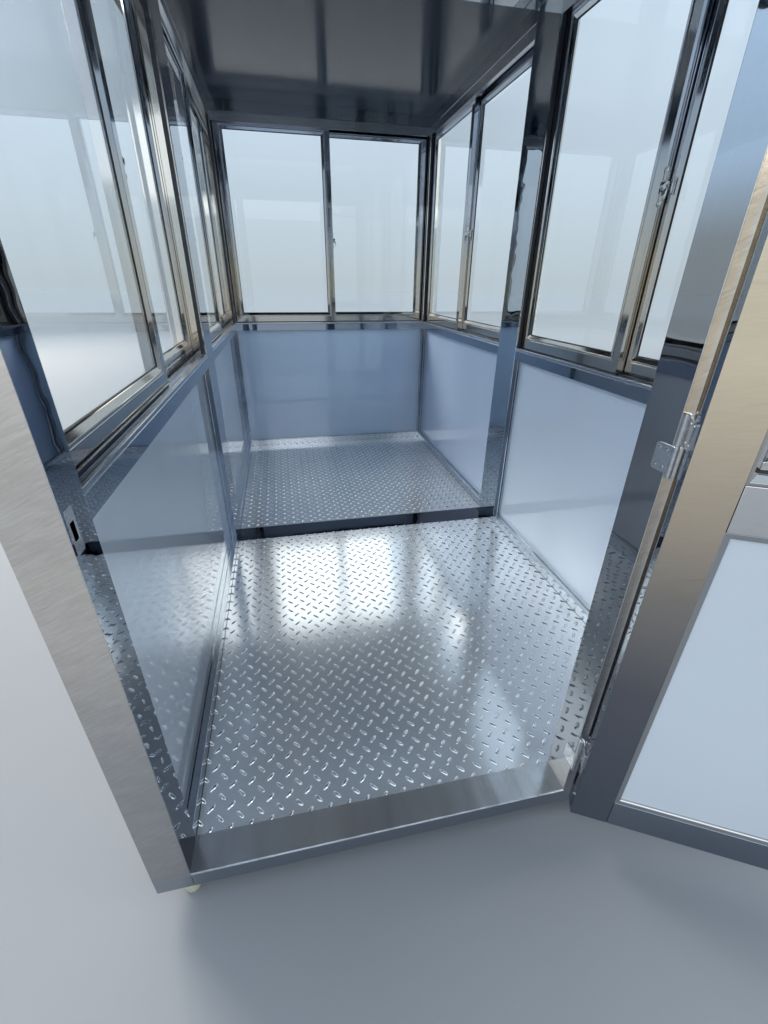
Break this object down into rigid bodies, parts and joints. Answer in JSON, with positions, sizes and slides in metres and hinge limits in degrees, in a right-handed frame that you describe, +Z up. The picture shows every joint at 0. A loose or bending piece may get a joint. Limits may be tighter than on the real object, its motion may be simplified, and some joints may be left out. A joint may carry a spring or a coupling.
{
  "type": "security guard booth",
  "caption": "Stainless-steel security guard booth with a hinged entrance door, sliding windows above white wall panels, a tread-plate floor and an overhanging flat roof.",
  "frame": {"origin": "on the ground under the plan centre of the booth body, leaving out the roof overhang and the open door", "axes": "+Z up, +Y from the door end towards the far end along the booth's length, +X to the right as one looks in through the door"},
  "size_m": [1.9525, 3.7245, 2.379],
  "materials": {
    "brushed_stainless": "brushed",
    "polished_stainless": "mirror polished",
    "sash_stainless": "satin",
    "tread_aluminium": "worn bright",
    "white_laminate": "glossy",
    "ceiling_laminate": "glossy",
    "clear_glass": "clear",
    "galvanised_base": "dull",
    "cream_plastic": "matte",
    "hinge_steel": "satin"
  },
  "bodies": {
    "booth": {"base_side_rails": "polished_stainless", "base_end_rails": "polished_stainless", "base_cross_members": "galvanised_base", "levelling_feet": "cream_plastic", "floor_deck": "galvanised_base", "tread_plate_front": "tread_aluminium", "tread_plate_rear": "tread_aluminium", "floor_joint_strip": "polished_stainless", "door_threshold": "brushed_stainless", "post_front_left": "brushed_stainless", "post_front_right": "brushed_stainless", "post_rear_left": "polished_stainless", "post_rear_right": "polished_stainless", "post_mid_left": "polished_stainless", "post_mid_right": "polished_stainless", "door_jamb_post": "brushed_stainless", "door_header": "brushed_stainless", "kick_rails": "polished_stainless", "sill_rails": "polished_stainless", "head_rails": "polished_stainless", "ceiling_joint_beam": "polished_stainless", "panels_left": "white_laminate", "panels_right": "white_laminate", "panel_rear": "white_laminate", "panel_front": "white_laminate", "window_left_front_sashes": "sash_stainless", "window_left_rear_sashes": "sash_stainless", "window_right_front_sashes": "sash_stainless", "window_right_rear_sashes": "sash_stainless", "window_rear_sashes": "sash_stainless", "window_glass_left": "clear_glass", "window_glass_right": "clear_glass", "window_glass_rear": "clear_glass", "window_front_glass": "clear_glass", "window_latches": "hinge_steel", "ceiling_panels": "ceiling_laminate", "roof_deck": "brushed_stainless", "roof_cap": "brushed_stainless", "jamb_hinge_leaves": "hinge_steel", "strike_plate": "hinge_steel"},
    "door": {"door_frame": "brushed_stainless", "door_panel": "white_laminate", "door_glass": "clear_glass", "door_hinge_leaves": "hinge_steel", "door_handle": "hinge_steel"}
  },
  "joints": [
    {"name": "door_hinge", "type": "hinge", "parent": "booth", "child": "door", "pos_m": [0.241, -1.531, 1.064], "axis": [0, 0, 1], "range_deg": [-151, 14]}
  ]
}
